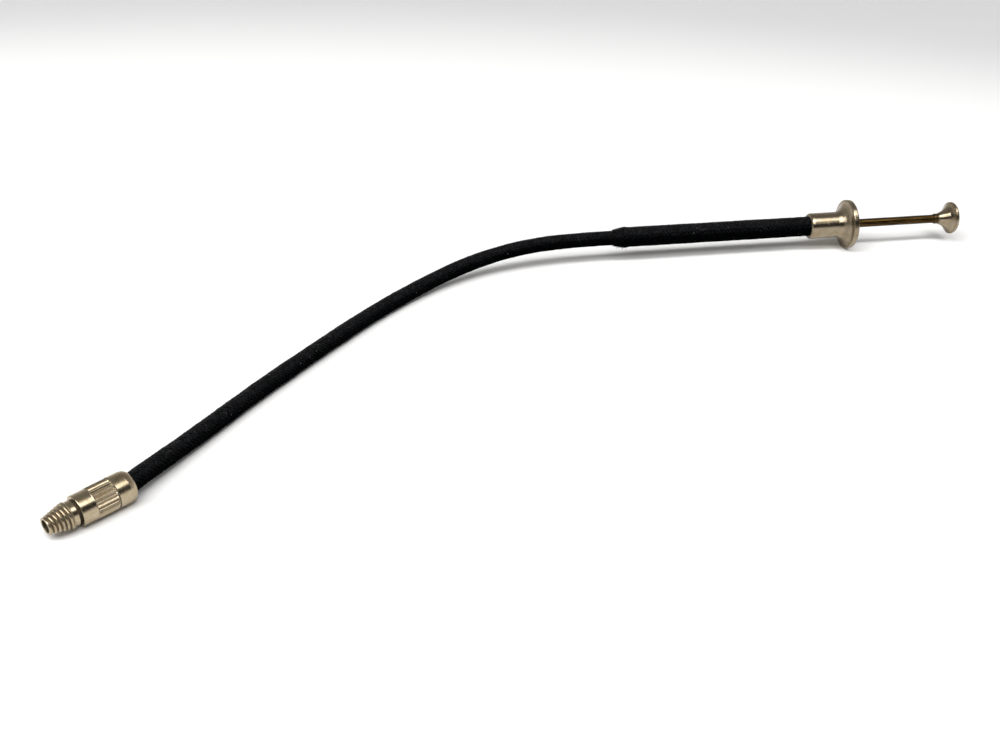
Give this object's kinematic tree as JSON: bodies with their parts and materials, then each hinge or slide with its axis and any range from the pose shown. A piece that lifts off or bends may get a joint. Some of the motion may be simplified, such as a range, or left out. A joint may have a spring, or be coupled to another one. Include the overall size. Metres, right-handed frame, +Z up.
{
  "type": "cable shutter release",
  "caption": "Braided cable release for a camera shutter: threaded swivelling tip with a pin, flexible cable, and a finger-flange handle with a sprung thumb plunger.",
  "frame": {"origin": "centre of the knurled collar's front face, on the axis of the tapered thread; the table the object rests on is at z = -2.47 mm", "axes": "-X points out of the threaded tip, +X back along the collar; +Z is up, away from the table; the cable runs towards +X and the handle ends towards +X and -Y"},
  "size_m": [0.1839, 0.0687, 0.0102],
  "materials": {
    "aged_nickel": "aged nickel plate on brass, semi-bright, yellowed and lightly scuffed",
    "tarnished_brass": "dark golden-brown tarnish with streaks along its length",
    "plain_brass": "turned, unplated",
    "wire_steel": "drawn, bright",
    "conduit_steel": "close-wound wire, dull",
    "black_cotton_braid": "tight diagonal braid of waxed black cotton yarn, slightly fuzzy, dusty in places"
  },
  "bodies": {
    "camera_end": {"threaded_nipple": "aged_nickel", "knurled_collar": "aged_nickel"},
    "pin": {"release_pin": "wire_steel"},
    "cable_end": {"cable_end_ferrule": "plain_brass", "cable_braid_0": "black_cotton_braid", "cable_conduit_0": "conduit_steel", "core_wire_0": "wire_steel"},
    "cable_1": {"cable_braid_1": "black_cotton_braid", "cable_conduit_1": "conduit_steel", "core_wire_1": "wire_steel"},
    "cable_2": {"cable_braid_2": "black_cotton_braid", "cable_conduit_2": "conduit_steel", "core_wire_2": "wire_steel"},
    "cable_3": {"cable_braid_3": "black_cotton_braid", "cable_conduit_3": "conduit_steel", "core_wire_3": "wire_steel"},
    "cable_4": {"cable_braid_4": "black_cotton_braid", "cable_conduit_4": "conduit_steel", "core_wire_4": "wire_steel"},
    "cable_5": {"cable_braid_5": "black_cotton_braid", "cable_conduit_5": "conduit_steel", "core_wire_5": "wire_steel"},
    "cable_6": {"cable_braid_6": "black_cotton_braid", "cable_conduit_6": "conduit_steel", "core_wire_6": "wire_steel"},
    "cable_7": {"cable_braid_7": "black_cotton_braid", "cable_conduit_7": "conduit_steel", "core_wire_7": "wire_steel"},
    "handle": {"cable_braid_8": "black_cotton_braid", "cable_conduit_8": "conduit_steel", "core_wire_8": "wire_steel", "handle_braid": "black_cotton_braid", "barrel_tube": "plain_brass", "conduit_socket": "plain_brass", "spring_seat": "plain_brass", "return_spring": "wire_steel", "rod_guide_bush": "plain_brass", "finger_flange": "aged_nickel"},
    "plunger": {"plunger_rod": "tarnished_brass", "plunger_stop": "plain_brass", "thumb_button": "aged_nickel"}
  },
  "joints": [
    {"name": "flex_1_sideways", "type": "hinge", "parent": "cable_1", "child": "cable_end", "pos_m": [0.01499, 0.00213, -0.00028], "axis": [0.0639, 0.0194, 0.9978], "range_deg": [-30, 30]},
    {"name": "flex_2_upward", "type": "hinge", "parent": "cable_2", "child": "cable_1", "pos_m": [0.02938, 0.00632, -0.00084], "axis": [-0.2632, 0.9648, 0], "range_deg": [-30, 30]},
    {"name": "flex_3_sideways", "type": "hinge", "parent": "cable_3", "child": "cable_2", "pos_m": [0.04395, 0.00989, -0.00088], "axis": [0.0002, 0, 1], "range_deg": [-30, 30]},
    {"name": "flex_4_upward", "type": "hinge", "parent": "cable_4", "child": "cable_3", "pos_m": [0.05863, 0.01296, -0.00088], "axis": [-0.1973, 0.9804, 0], "range_deg": [-30, 30]},
    {"name": "flex_5_sideways", "type": "hinge", "parent": "cable_4", "child": "cable_5", "pos_m": [0.07343, 0.01534, -0.00081], "axis": [-0.0206, -0.002, 0.9998], "range_deg": [-30, 30]},
    {"name": "flex_6_upward", "type": "hinge", "parent": "cable_5", "child": "cable_6", "pos_m": [0.08835, 0.01509, 0.0002], "axis": [-0.1514, -0.9885, 0], "range_deg": [-30, 30]},
    {"name": "flex_7_sideways", "type": "hinge", "parent": "cable_6", "child": "cable_7", "pos_m": [0.10237, 0.01031, 0.00202], "axis": [-0.0905, 0.0484, 0.9947], "range_deg": [-30, 30]},
    {"name": "flex_8_upward", "type": "hinge", "parent": "cable_7", "child": "handle", "pos_m": [0.11486, 0.00207, 0.00267], "axis": [-0.6056, -0.7958, 0], "range_deg": [-30, 30]},
    {"name": "collar_swivel", "type": "hinge", "parent": "cable_end", "child": "camera_end", "pos_m": [0.005, 0, 0], "axis": [1, 0, 0], "continuous": true},
    {"name": "release_pin_slide", "type": "slide", "parent": "camera_end", "child": "pin", "axis": [-1, 0, 0], "range_m": [0, 0.0095]},
    {"name": "plunger_press", "type": "slide", "parent": "handle", "child": "plunger", "axis": [-0.7733, 0.6341, 0], "range_m": [0, 0.0095], "stiffness_N_per_m": 120, "deforming": ["return_spring"]}
  ],
  "couplings": [
    {"joint": "release_pin_slide", "follows": "plunger_press", "ratio": 1}
  ]
}
